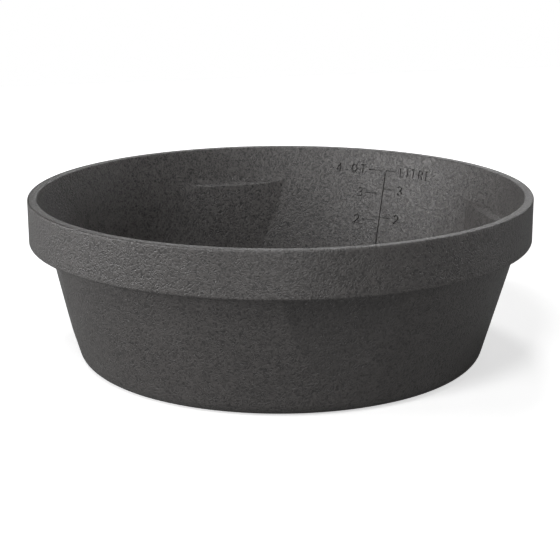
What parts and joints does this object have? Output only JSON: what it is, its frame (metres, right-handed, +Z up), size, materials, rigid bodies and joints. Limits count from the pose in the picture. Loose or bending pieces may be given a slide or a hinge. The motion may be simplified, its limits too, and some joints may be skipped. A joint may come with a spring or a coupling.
{
  "type": "rubber feed tub",
  "caption": "Round tapered rubber feed tub with a deep upright rim band, flats pressed into its wall and stacking shoulders behind them, for feeding livestock from the ground.",
  "frame": {"origin": "on the ground under the middle of the floor", "axes": "+Z up along the tub's axis; +X and +Y through the middles of two neighbouring flats"},
  "size_m": [0.2928, 0.2928, 0.0975],
  "materials": {
    "moulded_rubber": "matte, fibre-filled, dark grey"
  },
  "bodies": {
    "root": {"floor_dish": "moulded_rubber", "side_wall": "moulded_rubber", "rim_band": "moulded_rubber"}
  },
  "joints": []
}
